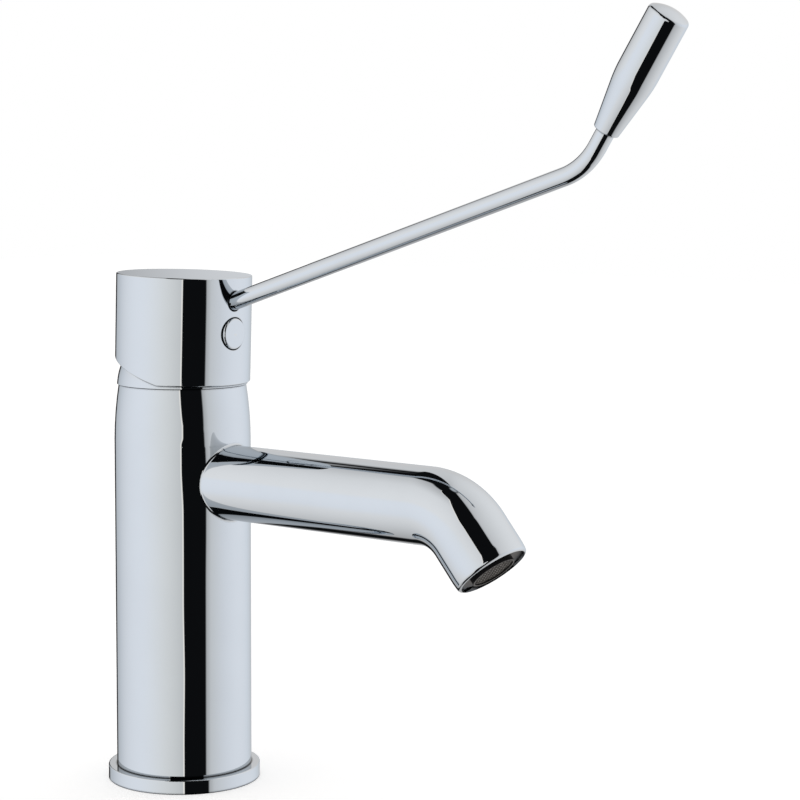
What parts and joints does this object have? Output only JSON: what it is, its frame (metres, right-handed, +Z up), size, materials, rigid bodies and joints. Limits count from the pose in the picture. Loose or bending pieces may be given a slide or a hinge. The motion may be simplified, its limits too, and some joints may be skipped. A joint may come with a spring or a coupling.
{
  "type": "basin mixer tap",
  "caption": "Single-lever basin mixer with a round body, a bent tube spout and a long bent lever with a swelling grip.",
  "frame": {"origin": "centre of the base's underside, where the base ring sits on the deck", "axes": "+Z up along the body's axis; the spout and the lever point to -Y, towards the user; +X is the user's right, so the hot inlet is on -X and the cold inlet on +X"},
  "size_m": [0.054, 0.2285, 0.2671],
  "materials": {
    "chromed_metal": "polished",
    "bare_brass": "satin",
    "stainless_steel": "satin",
    "white_ceramic": "polished",
    "cartridge_plastic": "satin",
    "dark_plastic": "satin",
    "white_plastic": "satin",
    "black_rubber": "matte"
  },
  "bodies": {
    "tap_body": {"body_casting": "chromed_metal", "base_ring": "chromed_metal", "base_gasket": "black_rubber", "cartridge_nut": "bare_brass", "dome_cover": "chromed_metal", "cartridge_housing": "cartridge_plastic", "cartridge_base": "cartridge_plastic", "port_seals": "black_rubber", "fixed_disc": "white_ceramic", "aerator_body": "dark_plastic", "aerator_grille": "dark_plastic", "aerator_diffuser": "white_plastic", "flow_regulator": "white_plastic", "regulator_ring": "black_rubber", "aerator_strainer": "white_plastic", "aerator_seal": "black_rubber"},
    "turret": {"stem_guide": "cartridge_plastic", "stem_pin": "stainless_steel", "guide_o_ring": "black_rubber"},
    "lever": {"stem": "bare_brass", "handle_cap": "chromed_metal", "lever_rod": "chromed_metal", "lever_grip": "chromed_metal", "handle_set_screw": "stainless_steel", "index_button": "chromed_metal"},
    "disc_carriage": {"moving_disc": "white_ceramic", "drive_plate": "cartridge_plastic"}
  },
  "joints": [
    {"name": "swivel", "type": "hinge", "parent": "tap_body", "child": "turret", "pos_m": [0, 0, 0.14], "axis": [0, 0, 1], "range_deg": [-50, 50]},
    {"name": "lift", "type": "hinge", "parent": "turret", "child": "lever", "pos_m": [0, 0, 0.14], "axis": [-1, 0, 0], "range_deg": [0, 25]},
    {"name": "disc_slide", "type": "slide", "parent": "turret", "child": "disc_carriage", "axis": [0, -1, 0], "range_m": [0, 0.0042]}
  ],
  "couplings": [
    {"joint": "disc_slide", "follows": "lift", "m_per_rad": 0.0094248}
  ]
}
